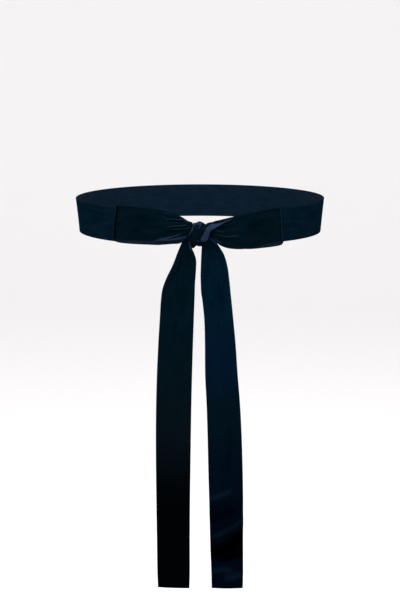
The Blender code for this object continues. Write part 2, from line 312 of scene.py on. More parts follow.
def crease_relief(creases, x, z):
    """How much a list of creases raises each point of a sheet, in mm, and its painted highlight or
    shade.
    """
    raised = np.zeros_like(x)
    painted_fold_light = np.zeros_like(x)
    for crease in creases:
        legs = list(zip(crease.points, crease.points[1:]))
        lengths = [math.dist(start, end) for start, end in legs]
        nearest = np.full_like(x, np.inf)
        place = np.zeros_like(x)
        passed = 0.0
        for (start, end), length in zip(legs, lengths):
            way_x, way_z = (end[0] - start[0]) / length, (end[1] - start[1]) / length
            run = np.clip((x - start[0]) * way_x + (z - start[1]) * way_z, 0.0, length)
            away = np.hypot(x - start[0] - run * way_x, z - start[1] - run * way_z)
            place = np.where(away < nearest, (passed + run) / sum(lengths), place)
            nearest = np.minimum(away, nearest)
            passed += length
        fade = ease(place / SOFT_END) * ease((1.0 - place) / SOFT_END)
        profile = fade * np.exp(-((nearest / crease.width) ** 2))
        deepest = SHARPEST_FOLD * crease.width**2 / WALL
        raised += max(-deepest, min(deepest, crease.depth)) * profile
        painted_fold_light += crease.shade * profile
    return raised, painted_fold_light


trial, _ = crease_relief(
    [Crease(((0, 0), (10, 0)), 2.0, 1.0, 0.0)], np.array([5.0, 5.0]), np.array([0.0, 4.0])
)
print("on a crease and 4 mm beside it:", trial.round(3).tolist())

# %% [markdown]
# ## One maker for every sheet
#
# Each stretch of ribbon starts as a flat grid primitive, one metre square. Its x is the place along
# the ribbon and its y the place across it. The grid's points are then moved to where the stretch's
# function puts them, raised by its creases, and Solidify gives the cloth its thickness, with the
# velvet on one side and the satin back on the other. A small Bevel rounds the ribbon's edges.
#
# The UV map keeps the ribbon flat, in metres: u runs along it and v across. A pattern drawn on it
# then has its true size, and follows the ribbon round every fold.

# %% Sheet maker
RIBBON_WIDTH = 38.0
EDGE_ROUND = 0.3
EDGE_SEGMENTS = 2
SHARP_ANGLE = 60.0
SEAM_GAP = 0.02


def lay_out(surface, steps, relief, is_round):
    """A stretch's points, normals, relief and painted light in a grid, and the length along its middle.
    """
    along, across = np.meshgrid(np.linspace(0, 1, steps[0] + 1), np.linspace(0, 1, steps[1] + 1))
    points = surface(along, across)
    along_way = np.gradient(points, axis=1)
    if is_round:
        along_way[:, 0] = along_way[:, -1] = (points[:, 1] - points[:, -2]) / 2.0
    outward = np.cross(along_way, np.gradient(points, axis=0))
    outward /= np.linalg.norm(outward, axis=-1, keepdims=True)
    raised, painted_fold_light = relief(along, across, points)
    middle = points[steps[1] // 2]
    length = np.concatenate([[0.0], np.cumsum(np.linalg.norm(np.diff(middle, axis=0), axis=1))])
    return points, outward, raised, painted_fold_light, length


def make_sheet(name, surface, steps, face, back, relief, turned=False, is_round=False):
    """A finished stretch of ribbon: surface(along, across) gives the middle of its cloth."""
    points, outward, raised, painted_fold_light, length = lay_out(surface, steps, relief, is_round)
    if turned:
        outward = -outward
    points = points + outward * raised[..., None]

    bpy.ops.object.select_all(action="DESELECT")
    bpy.ops.mesh.primitive_grid_add(x_subdivisions=steps[0], y_subdivisions=steps[1], size=1.0)
    sheet = bpy.context.object
    sheet.name = sheet.data.name = name
    flat = np.zeros(3 * len(sheet.data.vertices))
    sheet.data.vertices.foreach_get("co", flat)
    flat = flat.reshape(-1, 3) + 0.5
    column = np.rint(flat[:, 0] * steps[0]).astype(int)
    row = np.rint(flat[:, 1] * steps[1]).astype(int)
    sheet.data.vertices.foreach_set("co", (points[row, column] * MM).ravel())
    # Each point keeps the painted highlight or shade of its creases, for the shaders to mix in.
    kept = sheet.data.attributes.new("painted_fold_light", "FLOAT", "POINT")
    kept.data.foreach_set("value", painted_fold_light[row, column])

    uv = sheet.data.uv_layers[0].data
    places = np.zeros(2 * len(uv))
    uv.foreach_get("uv", places)
    places = places.reshape(-1, 2)
    places[:, 0] = np.interp(places[:, 0], np.linspace(0, 1, steps[0] + 1), length * MM)
    places[:, 1] *= RIBBON_WIDTH * MM
    uv.foreach_set("uv", places.ravel())

    bpy.ops.object.mode_set(mode="EDIT")
    bpy.ops.mesh.select_all(action="SELECT")
    if is_round:
        bpy.ops.mesh.remove_doubles(threshold=SEAM_GAP * MM)
    if turned:
        bpy.ops.mesh.flip_normals()
    bpy.ops.object.mode_set(mode="OBJECT")
    sheet.data.materials.append(face)
    sheet.data.materials.append(back)
    sheet.data.shade_smooth()

    wall = sheet.modifiers.new("ribbon thickness", "SOLIDIFY")
    wall.thickness = WALL * MM
    wall.offset = 0.0
    wall.material_offset = 1
    edges = sheet.modifiers.new("rounded edges", "BEVEL")
    edges.width = EDGE_ROUND * MM
    edges.segments = EDGE_SEGMENTS
    edges.limit_method = "ANGLE"
    edges.angle_limit = math.radians(SHARP_ANGLE)
    for modifier in list(sheet.modifiers):
        bpy.ops.object.modifier_apply(modifier=modifier.name)
    print(f"{name}: {length[-1]:.0f} mm of ribbon, {2 * len(sheet.data.polygons)} triangles")
    return sheet


print(f"the ribbon is {RIBBON_WIDTH:.0f} mm wide and {WALL:.0f} mm thick")

# %% [markdown]
# ## Velvet
#
# Ribbon velvet is rayon or silk pile about a millimetre tall, cut to stand upright. From above the
# eye looks down into it and sees almost nothing come back. Where the cloth turns away, the sides of
# the fibres catch the light, and that is the soft rim all velvet has. So the shader is:
#
# - a base colour close to black, a deep blue-green, mixed a little lighter where the pile leans
# - Sheen, Blender's layer for upright fibres, which is what lights the rims
# - no specular at all, because cut ends don't mirror anything
# - a fine bump for the pile. Real pile stands 0.15 mm apart, too fine to show, so it is drawn at
#   0.8 mm
# - the painted light of each point: painted highlight on ridges and painted shade in troughs
# - on the tails, other colours further down, where they hang away from the light

# %% Velvet
PILE_SPACING = 0.8
PILE_HEIGHT = 0.16
PILE_BUMP = 0.6
PILE_DARK = 0.7
PILE_LIGHT = 1.3
LEAN_LENGTH = 26.0
LEAN_WIDTH = 7.0
SHEEN_WEIGHT = 0.04
SHEEN_ROUGHNESS = 0.3

# A noise's value goes from 0 to 1, but it seldom lies outside these ends.
BROAD_ENDS = (0.3, 0.7)
FINE_ENDS = (0.25, 0.75)
BROAD_DETAIL = 3.0
FINE_DETAIL = 2.0

# The Mix node has sockets for each kind of value, and these are its factor and its colours.
FACTOR, COLOUR_A, COLOUR_B, COLOUR_OUT = 0, 6, 7, 2


def ribbon_places(tree, length, width):
    """The ribbon's UV map, in repeats of a length and a width in mm."""
    uv = add(tree, "ShaderNodeUVMap", uv_map="UVMap")
    scale = (1.0 / (length * MM), 1.0 / (width * MM), 1.0)
    return add(tree, "ShaderNodeMapping", {"Vector": uv.outputs["UV"], "Scale": scale}).outputs["Vector"]


def ribbon_noise(tree, length, width, detail):
    """A cloudy pattern on the ribbon, whose patches are this long and wide in mm."""
    inputs = {"Vector": ribbon_places(tree, length, width), "Scale": 1.0, "Detail": detail}
    return add(tree, "ShaderNodeTexNoise", inputs).outputs["Fac"]


def ramp(tree, value, low, high, to_low=0.0, to_high=1.0):
    """A value moved from one range to another, with soft ends."""
    inputs = {"Value": value, "From Min": low, "From Max": high, "To Min": to_low, "To Max": to_high}
    return add(tree, "ShaderNodeMapRange", inputs, interpolation_type="SMOOTHSTEP").outputs["Result"]


def mixed(tree, share, first, second, blend="MIX"):
    """Two colours mixed by a share."""
    inputs = {FACTOR: share, COLOUR_A: first, COLOUR_B: second}
    return add(tree, "ShaderNodeMix", inputs, data_type="RGBA", blend_type=blend).outputs[COLOUR_OUT]


def shaded_by_folds(tree, colour, ridge, most):
    """A colour with painted highlight on ridges and painted shade, down to black, in troughs."""
    painted_fold_light = add(tree, "ShaderNodeAttribute", attribute_name="painted_fold_light").outputs["Fac"]
    colour = mixed(tree, ramp(tree, painted_fold_light, 0.0, 1.0, 0.0, most), colour, linear(ridge))
    return mixed(tree, ramp(tree, painted_fold_light, -1.0, 0.0, most, 0.0), colour, linear("#000000"))


def join_up(tree, shader, colour, height, strength, tallest):
    """Gives a shader its colour, and a bump from a height pattern up to so many mm tall."""
    inputs = {"Height": height, "Strength": strength, "Distance": tallest * MM}
    bump = add(tree, "ShaderNodeBump", inputs)
    tree.links.new(colour, shader.inputs["Base Color"])
    tree.links.new(bump.outputs["Normal"], shader.inputs["Normal"])


def velvet(name, upright, leaning, ridge, further=()):
    """Cut pile velvet: its colour upright, leaning, its painted highlight over a ridge, and at lengths
    along the ribbon.
    """
    made, tree, shader = new_material(name)
    lean = ramp(tree, ribbon_noise(tree, LEAN_LENGTH, LEAN_WIDTH, BROAD_DETAIL), *BROAD_ENDS)
    colour = mixed(tree, lean, linear(upright), linear(leaning))
    uv = add(tree, "ShaderNodeUVMap", uv_map="UVMap")
    length = add(tree, "ShaderNodeSeparateXYZ", {"Vector": uv.outputs["UV"]}).outputs["X"]
    for start, end, shade in further:
        colour = mixed(tree, ramp(tree, length, start * MM, end * MM), colour, linear(shade))
    colour = shaded_by_folds(tree, colour, ridge, 1.0)

    pile = ribbon_noise(tree, PILE_SPACING, PILE_SPACING, FINE_DETAIL)
    grain = ramp(tree, pile, *FINE_ENDS, PILE_DARK, PILE_LIGHT)
    colour = mixed(tree, 1.0, colour, grain, "MULTIPLY")
    join_up(tree, shader, colour, pile, PILE_BUMP, PILE_HEIGHT)
    shader.inputs["Roughness"].default_value = 1.0
    shader.inputs["Specular IOR Level"].default_value = 0.0
    shader.inputs["Sheen Weight"].default_value = SHEEN_WEIGHT
    shader.inputs["Sheen Roughness"].default_value = SHEEN_ROUGHNESS
    shader.inputs["Sheen Tint"].default_value = linear("#3f6690")
    return made


velvet_band = velvet("cut pile ribbon velvet, band", "#020d18", "#04141e", "#101f30")
velvet_loops = velvet("cut pile ribbon velvet, bow", "#01090e", "#030f17", "#1d283b")
velvet_left = velvet(
    "cut pile ribbon velvet, left tail",
    "#010b12",
    "#020f17",
    "#1c2b3e",
    ((60.0, 230.0, "#040b10"), (200.0, 310.0, "#010203")),
)
velvet_right = velvet(
    "cut pile ribbon velvet, right tail",
    "#010d18",
    "#02131f",
    "#15283e",
    (
        (70.0, 140.0, "#020e1e"),
        (140.0, 190.0, "#020c13"),
        (205.0, 260.0, "#010812"),
        (265.0, 320.0, "#01040b"),
    ),
)
velvets = (velvet_band, velvet_loops, velvet_left, velvet_right)
print("velvets:", [made.name for made in velvets])

# %% [markdown]
# ## Satin back
#
# A velvet ribbon's other side is smooth. Its pile is woven into a ground cloth, whose back floats
# long threads over short ones, as satin does. It is a lighter slate blue than the velvet and has a
# low gloss, which the ridges of its threads break up. The threads lie 0.25 mm apart, and are drawn
# at 0.6 mm so that they show. It is seen in the turned strip over the knot, inside the loops and
# all round the inside of the band.
#
# Satin has no pile to brush, so behind the tails' velvet, whose patches are partly brushed pile and
# partly painted light, only a little of the painted highlight and shade is kept. In the bow all of
# it is, because there it is the painted light and shade of sharp folds, and on the turned strip the
# painted dark rim where the velvet comes round its edge.

# %% Satin back
THREAD_SPACING = 0.6
THREAD_HEIGHT = 0.05
THREAD_BUMP = 0.5
FLOAT_LENGTH = 2.4
FLOAT_WANDER = 1.4
CLOUD_LENGTH = 14.0
CLOUD_WIDTH = 5.0
CLOUD_DARK = 0.85
CLOUD_LIGHT = 1.15
SATIN_ROUGHNESS = 0.5
SATIN_GLOSS = 0.04

# At this scale a wave node draws about one band to each repeat.
ONE_BAND = 0.32


def satin(name, thread, float_colour, ridge, fold_shade):
    """The smooth woven back of a velvet ribbon, and how much of the folds' painted highlight and shade
    it shows.
    """
    made, tree, shader = new_material(name)
    places = ribbon_places(tree, FLOAT_LENGTH, THREAD_SPACING)
    threads = add(
        tree,
        "ShaderNodeTexWave",
        {"Vector": places, "Scale": ONE_BAND, "Distortion": FLOAT_WANDER},
        wave_type="BANDS",
        bands_direction="Y",
    ).outputs["Fac"]
    weave = mixed(tree, threads, linear(thread), linear(float_colour))
    cloud = ribbon_noise(tree, CLOUD_LENGTH, CLOUD_WIDTH, BROAD_DETAIL)
    cloud = ramp(tree, cloud, *BROAD_ENDS, CLOUD_DARK, CLOUD_LIGHT)
    weave = mixed(tree, 1.0, weave, cloud, "MULTIPLY")
    weave = shaded_by_folds(tree, weave, ridge, fold_shade)
    join_up(tree, shader, weave, threads, THREAD_BUMP, THREAD_HEIGHT)
    shader.inputs["Roughness"].default_value = SATIN_ROUGHNESS
    shader.inputs["Specular IOR Level"].default_value = SATIN_GLOSS
    shader.inputs["Specular Tint"].default_value = linear("#7c98bd")
    return made


satin_back = satin("woven satin back", "#06111b", "#0a1926", "#20344a", 0.25)
satin_folded = satin("woven satin back, folded", "#06111b", "#0a1926", "#20344a", 1.0)
# The turned strip's satin gets lighter colours than the rest: painted light, for the strip that faces
# out to the lamps.
satin_turned = satin("woven satin back, turned out", "#111e2d", "#1a283b", "#293958", 1.0)
print("satins:", [made.name for made in (satin_back, satin_folded, satin_turned)])

# %% [markdown]
# ## The band
#
# Most of the band is a plain hoop, laid smooth round the waist. Only its last hundred millimetres
# on either side of the knot narrow, as the ribbon is drawn together under the first crossing. So its
# table is short: it gives the ribbon's upper and lower edge by the distance from the knot, and how
# deep it pleats.
#
# A hoop of cloth is never quite true. A few long, faint waves, a third of a millimetre deep, keep
# the light from sliding over it as over a pipe.

# %% Band
BandEnd = namedtuple("BandEnd", "distance top bottom pleat")
BAND_END = table(
    BandEnd,
    (100, 19, -19, 0),
    (84, 19, -19, 0),
    (68, 17.8, -19, 0),
    (54, 15.6, -18.8, 0.1),
    (42, 13, -18, 0.4),
    (32, 10.4, -17, 0.8),
    (24, 7.8, -16, 1.1),
    (17, 4.8, -15.2, 1.1),
    (11, 1.6, -14.2, 1),
    (0.5, 1.2, -14, 1),
)
BAND_END_SHARE = 0.4
BAND_STEPS = (560, 28)
GATHER_WAVES = 3.0
WAVE_DEPTH = 0.3
WAVES_END = 0.66
WAVES_FADE = 0.125
LONG_WAVES = 9.0
SHORT_WAVES = 23.0
WAVE_SLANT = 3.0


def band_surface(along, across):
    """Once round the waist, from the right end behind the knot, by the front, to the left one."""
    turn = 2.0 * along - 1.0
    plain_part = 1.0 - BAND_END_SHARE
    into_end = np.clip((np.abs(turn) - plain_part) / BAND_END_SHARE, 0.0, 1.0)
    row = along_table(BAND_END, into_end)
    plain_angle = math.pi - math.asin(BAND_END[0].distance / WAIST_HALF_WIDTH)
    end_angle = np.pi - np.arcsin(row.distance / WAIST_HALF_WIDTH)
    angle = np.where(into_end > 0.0, np.copysign(end_angle, turn), plain_angle * turn / plain_part)
    height = row.bottom + (row.top - row.bottom) * across
    pleat = row.pleat * np.cos(GATHER_WAVES * np.pi * (2.0 * across - 1.0))
    out = height * math.tan(WAIST_LEAN) + pleat
    return np.stack(
        [-(WAIST_HALF_WIDTH + out) * np.sin(angle), (WAIST_HALF_DEPTH + out) * np.cos(angle), height],
        axis=-1,
    )


def band_waves(along, across, points):
    """Faint long waves in the plain part."""
    plain = ease((WAVES_END - np.abs(2.0 * along - 1.0)) / WAVES_FADE)
    waves = np.sin(SHORT_WAVES * along + WAVE_SLANT * across) * np.sin(LONG_WAVES * along + 1.0)
    return plain * WAVE_DEPTH * waves, np.zeros_like(along)


waistband = make_sheet(
    "sash_waistband", band_surface, BAND_STEPS, velvet_band, satin_back, band_waves
)
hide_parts("waistband")
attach(waistband, "root")

# %% [markdown]
# ## The loops
#
# A loop is one stretch of ribbon that leaves the knot as a front layer, turns in a soft fold and
# comes back along the band as a rear layer. So it is one sheet, and its table runs that way: each
# row says how far it reaches from the knot, how far it stands off the waist, how high the middle of
# the ribbon is, how much of the ribbon's width is left there and, where it pleats, how deep. Near
# the knot the 38 mm are gathered into a third of that.

# %% Loop tables
Section = namedtuple("Section", "reach out middle height pleat", defaults=[0.0])
LEFT_LOOP = table(
    Section,
    (1.5, 14.3, -0.5, 10.5),
    (6, 14.4, -0.3, 9.8),
    (8, 14.5, 0.2, 11.6),
    (9.2, 14.6, 1.7, 14.4),
    (10.8, 14.8, 2.5, 14.4, 0.1),
    (13, 15, 3.3, 14, 0.3),
    (16.5, 15.4, 4.4, 16, 0.5),
    (20, 15.6, 5.3, 18.5, 0.8),
    (26, 15.6, 5.7, 23, 1.1),
    (32, 15.3, 5.7, 27, 0.9),
    (40, 14.8, 5.6, 31, 0.5),
    (50, 13.6, 5.3, 33.6, 0.2),
    (60, 12, 5.3, 34.6),
    (70, 10, 5, 35.7),
    (79, 8, 4.5, 36.6),
    (86.6, 6.4, 4, 37),
    (91.9, 5.1, 3.3, 37.2),
    (93.7, 3.7, 2.4, 37.2),
    (92.6, 2.4, 1.1, 37.4),
    (88.7, 1.9, -0.2, 38),
    (80, 1.9, -0.6, 38),
    (68, 1.9, -0.4, 38),
    (56, 2.1, 0, 38),
    (46, 2.6, -0.4, 36.8),
    (38, 3.8, -0.5, 34.5, 0.1),
    (30, 6.4, -0.8, 31.2, 0.3),
    (22, 8.6, -1.6, 26.8, 0.3),
    (17, 9.3, -1, 18.6, 0.4),
    (13.4, 9.6, -0.8, 13, 0.4),
    (10, 9.8, -0.8, 11.6, 0.4),
    (6, 9.9, -1, 12, 0.4),
    (1.5, 10, -1, 12, 0.4),
)
RIGHT_LOOP = table(
    Section,
    (1.5, 14.3, -2.2, 8.4),
    (6, 14.4, -2.2, 8.6),
    (9.2, 14.5, -2, 9.6),
    (11.6, 14.8, 0.2, 16),
    (14, 15.2, 0.4, 19.4, 0.3),
    (19, 15.8, -1.9, 26.4, 0.8),
    (26, 16.2, -2.8, 31.5, 0.8),
    (34, 16, -2.8, 35, 0.5),
    (44, 15, -2.3, 37.5, 0.2),
    (54, 13.2, -1.2, 38),
    (64, 11, 0.3, 37),
    (73, 9, 1.3, 36.6),
    (80, 7.2, 1.7, 36.8),
    (84.2, 5.9, 1.6, 37.2),
    (86.2, 4.8, 0.9, 37.4),
    (87.2, 3.6, -0.6, 37.8),
    (86.6, 2.4, -2.2, 38),
    (84, 1.9, -3.4, 38),
    (77, 1.9, -4.1, 38),
    (66, 1.9, -4.5, 38),
    (54, 2.1, -4.8, 38),
    (45, 2.6, -4.8, 36.4),
    (37, 3.8, -4, 32, 0.1),
    (30, 6.4, -3.8, 29.2, 0.3),
    (22, 8.6, -3, 25, 0.3),
    (16, 9.4, -1.8, 18.5, 0.4),
    (12.4, 9.7, -1.6, 12.4, 0.3),
    (9.6, 9.9, -2, 9.4, 0.3),
    (6, 9.9, -2.2, 9, 0.3),
    (1.5, 10, -2.2, 9, 0.3),
)
KNOT_X = 1.0
FOLD_SLANT = 1.8


def loop_surface(rows, direction):
    """A loop that reaches out from the knot to the left (-1) or the right (1)."""
    widest = max(row.reach for row in rows)

    def surface(along, across):
        row = along_table(rows, along)
        side = 2.0 * across - 1.0
        slant = FOLD_SLANT * side * (row.reach / widest) ** 2
        out = row.out + row.pleat * np.cos(GATHER_WAVES * np.pi * side)
        height = row.middle + side * row.height / 2.0
        return on_waist(KNOT_X + direction * (row.reach - slant), height, out)

    return surface


print("widest sections:", max(r.reach for r in LEFT_LOOP), max(r.reach for r in RIGHT_LOOP))

# %% [markdown]
# Each loop has its own folds. On the left one, thin ridges with painted highlight, and creases with
# painted shade between them, run out of the knot and die away half way along, and only broad soft
# waves go on to its end. On the right one the turned strip crosses the root, with a crease of
# painted shade along it, and a few folds open below. Each loop's last two lines stand for its turned
# end: a painted highlight where the fold's edge catches the light, and a painted shade inside it.
# The rear layers get a few folds of the same kind, with painted highlight and shade, since the same
# gather makes them. A crease is placed by x and height in mm, as the bow is seen from behind.

# %% Loop creases
LEFT_FRONT = [
    Crease(
        ((-6, 6.4), (-13.6, 10.2), (-19.8, 12.4), (-34.4, 12.4), (-37.5, 14), (-43, 18.6)),
        0.6, 0.4, 0.6,
    ),
    Crease(((-5, 5.9), (-11.5, 6.2), (-20.9, 5.6), (-30.2, 4.9), (-34, 3.9), (-40, 0.4)), 0.5, 0.4, 0.6),
    Crease(((-5, 3), (-11.5, 3.2), (-19.8, 2.1), (-29.2, 1.4), (-34, 0.6)), 0.5, 0.35, 0.6),
    Crease(((-10, 8.4), (-17, 8.8), (-25, 8), (-33, 8.6)), 0.6, 0.3, 0.35),
    Crease(((-26, 17), (-33.4, 18.2), (-41.7, 18.8), (-52, 19.4)), 0.7, 0.3, 0.35),
    Crease(((-14, 10.8), (-20, 10.9), (-28, 10.6), (-36, 10.4)), 0.9, -0.5, -0.6),
    Crease(((-18, 6.9), (-24, 7.2), (-31, 6.4)), 0.8, -0.4, -0.5),
    Crease(((-7, 4.7), (-10.4, 4.7), (-19.8, 3.9), (-27.1, 3.4), (-34, 2.2)), 0.5, -0.5, -0.9),
    Crease(((-9, 1.2), (-18, 0.4), (-30, -1.6), (-44, -3)), 1, -0.5, -0.6),
    Crease(((-34, 15), (-40, 17.6), (-47, 20)), 0.9, -0.4, -0.4),
    Crease(
        ((-12, -1.5), (-16.7, -2.2), (-20.9, -3.4), (-29.2, -6.4), (-38.6, -9.2), (-50, -11.4)),
        0.8, 0.5, 0.9,
    ),
    Crease(((-14, -3.2), (-24, -2.8), (-36, -5.4)), 0.8, -0.2, -0.4),
    Crease(((-46, 2), (-60, 4.5), (-76, 3)), 6, 0.4, 0),
    Crease(((-50, 14), (-66, 15), (-80, 12)), 5, -0.4, 0),
    Crease(((-52, -8), (-66, -6), (-82, -9)), 5, -0.4, 0),
    Crease(((-84.6, 50), (-88.6, 20), (-91.1, 4), (-92.4, -12), (-93, -50)), 1.4, 0, -0.8),
    Crease(((-86, 50), (-90.1, 20), (-92.6, 4), (-93.9, -12), (-94.6, -50)), 0.6, 0, 0.7),
]
RIGHT_FRONT = [
    Crease(((7, -3.2), (11.6, -0.6), (16.5, 2.4), (22.5, 6.6), (30, 10), (36, 12)), 0.9, -0.8, -0.95),
    Crease(((10.5, -1.6), (11.2, -4), (13.4, -8)), 0.8, -0.2, -0.7),
    Crease(((12, -1.6), (16.4, -3.1), (24.5, -5.2), (27.9, -6), (39.5, -6), (46, -5.8)), 0.55, 0.5, 0.7),
    Crease(((14, -1.6), (22.9, -3.9), (28, -4.9), (38, -4.9)), 0.5, -0.4, -0.8),
    Crease(((13, 0.4), (17.3, 0.1), (23.8, -1.2), (28, -1.4)), 0.6, 0.3, 0.35),
    Crease(((11, -4), (16.6, -7.6), (21, -9.6), (27, -10.8)), 0.9, -0.6, -0.6),
    Crease(((12, -6.4), (15.4, -8.6), (18.8, -11), (25, -14.8)), 0.8, 0.4, 0.4),
    Crease(((22, 5.6), (30, 7.8), (40, 9.6)), 1.3, 0.5, 0.15),
    Crease(((20, 1.2), (28, 1.8), (38, 1.4), (50, 3)), 2, 0.4, 0.1),
    Crease(((34, 9), (46, 11), (60, 10)), 3.5, 0.5, 0),
    Crease(((32, -17.5), (44, -17), (58, -15)), 3, -0.5, 0),
    Crease(((54, 2), (66, 1), (80, 3)), 6, -0.4, 0),
    Crease(((52, -9), (66, -8), (80, -10)), 5.5, 0.4, 0),
    Crease(((82.6, 50), (84.8, 18), (86.6, -2), (87.4, -18), (88, -50)), 0.9, 0, -0.4),
    Crease(((83.8, 50), (86.2, 18), (88, -2), (88.9, -18), (89.6, -50)), 0.6, 0, 0.6),
]
LEFT_REAR = [
    Crease(((-12, -4.2), (-17.7, -5.8), (-25, -8.2), (-31.3, -9.8), (-42, -11.8)), 0.6, 0.5, -0.8),
    Crease(((-8, -4.6), (-19.8, -8.6), (-28.2, -10.6), (-41.7, -12.8), (-56, -14.4)), 1.1, -0.6, 0.8),
    Crease(((-13, -8.6), (-20, -11.2), (-28, -13.2), (-44, -15.2)), 0.7, 0.5, -0.7),
    Crease(((-40, -15.4), (-62, -16.8), (-88, -17)), 0.9, -0.3, 0.5),
    Crease(((-18, 2), (-32, 4), (-50, 5.5)), 2.4, -0.7, 0.2),
    Crease(((-22, 8), (-38, 11), (-54, 12)), 2.2, 0.6, -0.2),
]
RIGHT_REAR = [
    Crease(((16, -3), (34, -5), (50, -7.5)), 2.4, 0.7, -0.2),
    Crease(((16, 3), (34, 3.5), (50, 4.5)), 2.4, -0.7, 0.2),
    Crease(((18, -8.5), (36, -13.5), (52, -15)), 1.5, -0.6, 0.6),
    Crease(((24, 7.5), (38, 8.5), (54, 9.5)), 2.2, 0.6, -0.2),
]
LOOP_STEPS = (390, 84)
FOLD_PLACE = 0.55
FOLD_SOFTNESS = 0.04


def loop_creases(front, rear):
    """A loop's folds: those of its front layer, then those of its rear one."""

    def relief(along, across, points):
        x, z = points[..., 0], points[..., 2]
        behind = ease((along - FOLD_PLACE) / FOLD_SOFTNESS)
        in_front = crease_relief(front, x, z)
        at_back = crease_relief(rear, x, z)
        return tuple((1.0 - behind) * near + behind * far for near, far in zip(in_front, at_back))

    return relief


LOOPS = [
    ("loop_left", LEFT_LOOP, -1.0, LEFT_FRONT, LEFT_REAR, 0.205),
    ("loop_right", RIGHT_LOOP, 1.0, RIGHT_FRONT, RIGHT_REAR, 0.193),
]
for node, rows, direction, front, rear, length in LOOPS:
    loop = make_sheet(
        f"bow_{node}",
        loop_surface(rows, direction),
        LOOP_STEPS,
        velvet_loops,
        satin_folded,
        loop_creases(front, rear),
        turned=direction < 0.0,
    )
    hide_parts(node)
    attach(loop, "root")

# %% [markdown]
# ## The knot
#
# Two stretches are wound round the gathered ribbon: the bow's knot, round the roots of the loops,
# and under it the first crossing, of which only a dark lower edge shows. Both are one turn round a
# squarish oval that changes from end to end, so their tables have a row for each place across: how
# high and low the oval reaches there, and how far out its front and back lie.
#
# The knot was pulled tight at a slant. Its left mouth leans over to the right above, its top has one
# small peak, and its right shoulder drops away under the turned strip. Light catches along its top
# and its left edge, and the folds between them run down into its shade.

# %% Knot
Wrap = namedtuple("Wrap", "x top bottom front back")
BOW_KNOT = table(
    Wrap,
    (-10, 7.3, -9.9, 18.4, 6.8),
    (-8.2, 7.5, -10.6, 19.2, 6.6),
    (-5.6, 8, -10.8, 19.9, 6.3),
    (-2.8, 8.7, -10.8, 20.3, 6.1),
    (-0.2, 9.1, -10.7, 20.2, 6.1),
    (2.4, 8.5, -10.6, 19.9, 6.1),
    (5, 6.6, -10.5, 19.5, 6.1),
    (7.4, 4.8, -10.2, 18.9, 6.2),
    (10.4, 4.8, -9.6, 17.6, 6.6),
)
KNOT_STEPS = (300, 90)
SQUARENESS = 3.0
WRAP_FOLDS = 2.5
WRAP_TWIST = 1.0
KNOT_FOLD_DEPTH = 0.2
MOUTH_LEAN = 2.9
MOUTH_MIDDLE = -1.0
MOUTH_REACH = 8.0
FRONT_EDGE = 0.05
FRONT_SOFTNESS = 0.3

# The shades of these creases are painted highlight along the knot's top, its left edge and a few ridges,
# and painted shade in the folds between them.
KNOT_CREASES = [
    Crease(((-11, 5.6), (-6.5, 7.3), (-3.4, 8.1), (0.6, 8.5), (5, 8)), 1.3, 0.3, 0.9),
    Crease(((2.4, 9.6), (0.4, 6.6), (-0.8, 4.5), (-2.4, 1)), 0.6, 0.4, 0.6),
    Crease(((-4.2, 6.2), (-3.8, 4), (-4.6, 1.4)), 0.5, 0.3, 0.35),
    Crease(((1.8, 9), (2.6, 6.6), (1.4, 3.4)), 0.7, -0.4, -0.5),
    Crease(((3.4, 8.4), (4.6, 5.6), (4.4, 3.4), (3.6, 0.6)), 1.2, 0.3, 0.45),
    Crease(((1.4, 3), (2.2, -0.4), (1.6, -3.6)), 1, -0.4, -0.3),
    Crease(((-5.6, 0.6), (-1.5, 2.2), (2, 1.8)), 0.8, -0.5, -0.45),
    Crease(((-5.6, 7.4), (-7.2, 5), (-8.4, 1.4), (-10.6, -1.9), (-12.6, -6.4)), 0.8, 0.4, 0.9),
    Crease(((-8.4, 0.4), (-8.9, -1.8), (-9.8, -5.1), (-10.2, -9.4)), 1, -0.6, -0.8),
    Crease(((-7.4, -9.6), (-4, -9.3), (-1, -9.7), (1.6, -9.2)), 0.5, 0.2, 0.4),
    Crease(((-4, -2), (-2.6, -5), (-3.4, -8.6)), 2.4, 0.5, 0),
]


def wrap_surface(rows, fold_depth, mouth_lean):
    """A stretch wound once about the x axis, through the sections of a table."""

    def surface(along, across):
        row = along_table(rows, across)
        angle = 2.0 * np.pi * along
        side = 2.0 * across - 1.0
        fold = fold_depth * np.cos(WRAP_FOLDS * np.pi * side + WRAP_TWIST * np.sin(angle))
        up = np.copysign(np.abs(np.sin(angle)) ** (2.0 / SQUARENESS), np.sin(angle))
        forward = np.copysign(np.abs(np.cos(angle)) ** (2.0 / SQUARENESS), np.cos(angle))
        height = (row.top + row.bottom) / 2.0 + ((row.top - row.bottom) / 2.0 + fold) * up
        out = (row.front + row.back) / 2.0 + ((row.front - row.back) / 2.0 + fold) * forward
        lean = np.sin(np.pi / 2.0 * np.clip((height - MOUTH_MIDDLE) / MOUTH_REACH, -1.0, 1.0))
        return on_waist(row.x + mouth_lean * lean * np.maximum(-side, 0.0), height, out)

    return surface


def front_relief(creases):
    """Creases on the front of a wound stretch."""

    def relief(along, across, points):
        front = ease((np.cos(2.0 * np.pi * along) - FRONT_EDGE) / FRONT_SOFTNESS)
        return tuple(front * part for part in crease_relief(creases, points[..., 0], points[..., 2]))

    return relief


knot = make_sheet(
    "bow_knot",
    wrap_surface(BOW_KNOT, KNOT_FOLD_DEPTH, MOUTH_LEAN),
    KNOT_STEPS,
    velvet_loops,
    satin_folded,
    front_relief(KNOT_CREASES),
    turned=True,
    is_round=True,
)
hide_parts("knot_wrap")
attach(knot, "root")

# %% [markdown]
# The first crossing is the same kind of turn, smaller and lower, with a slack fold that hangs a
# little way down between the tails. It lies in the knot's shade, and only two soft ridges catch any
# light.

